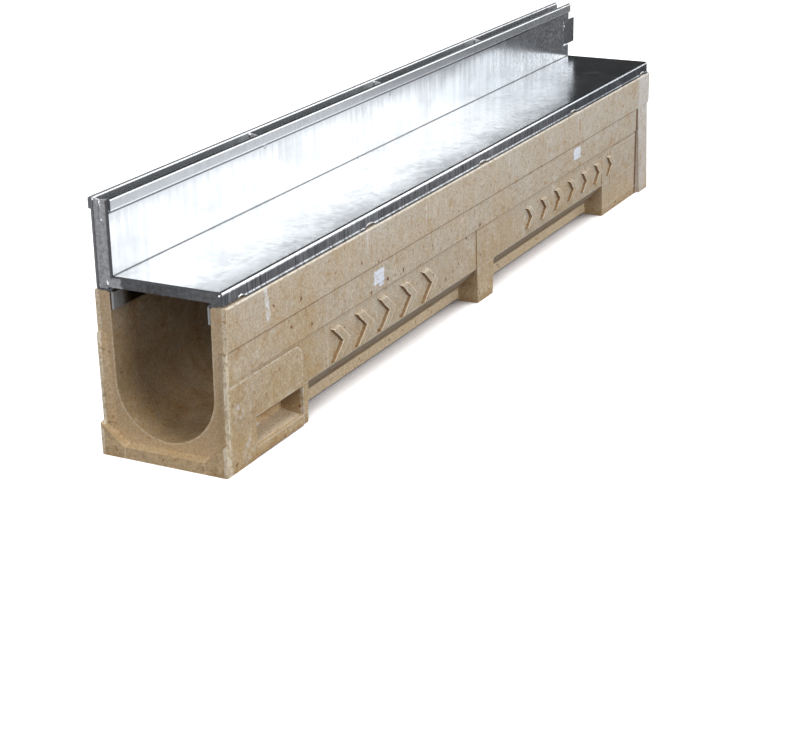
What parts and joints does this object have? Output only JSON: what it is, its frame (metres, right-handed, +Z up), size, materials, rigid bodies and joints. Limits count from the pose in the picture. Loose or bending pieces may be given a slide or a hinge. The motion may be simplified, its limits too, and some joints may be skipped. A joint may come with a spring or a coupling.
{
  "type": "slotted channel drain",
  "caption": "Slotted drainage channel: U-shaped polymer concrete trough on feet, with a folded galvanised cover and a raised, offset inlet slot resting on its rims.",
  "frame": {"origin": "on the ground under the feet, at mid-length and mid-width of the trough", "axes": "+X across, towards the side with the wide cover; +Y along the channel from the socket end to the spigot end; +Z up"},
  "size_m": [0.1344, 1.0315, 0.2285],
  "materials": {
    "polymer_concrete": "cast, matt, with small air holes",
    "galvanised_steel": "bright galvanised, faint upright streaks"
  },
  "bodies": {
    "root": {"channel_body": "polymer_concrete", "rear_slot_sheet": "galvanised_steel", "front_cover_sheet": "galvanised_steel", "front_locating_angle": "galvanised_steel", "near_end_plate": "galvanised_steel", "slot_rib_1": "galvanised_steel", "slot_rib_2": "galvanised_steel", "slot_rib_3": "galvanised_steel", "far_end_rib": "galvanised_steel"}
  },
  "joints": []
}
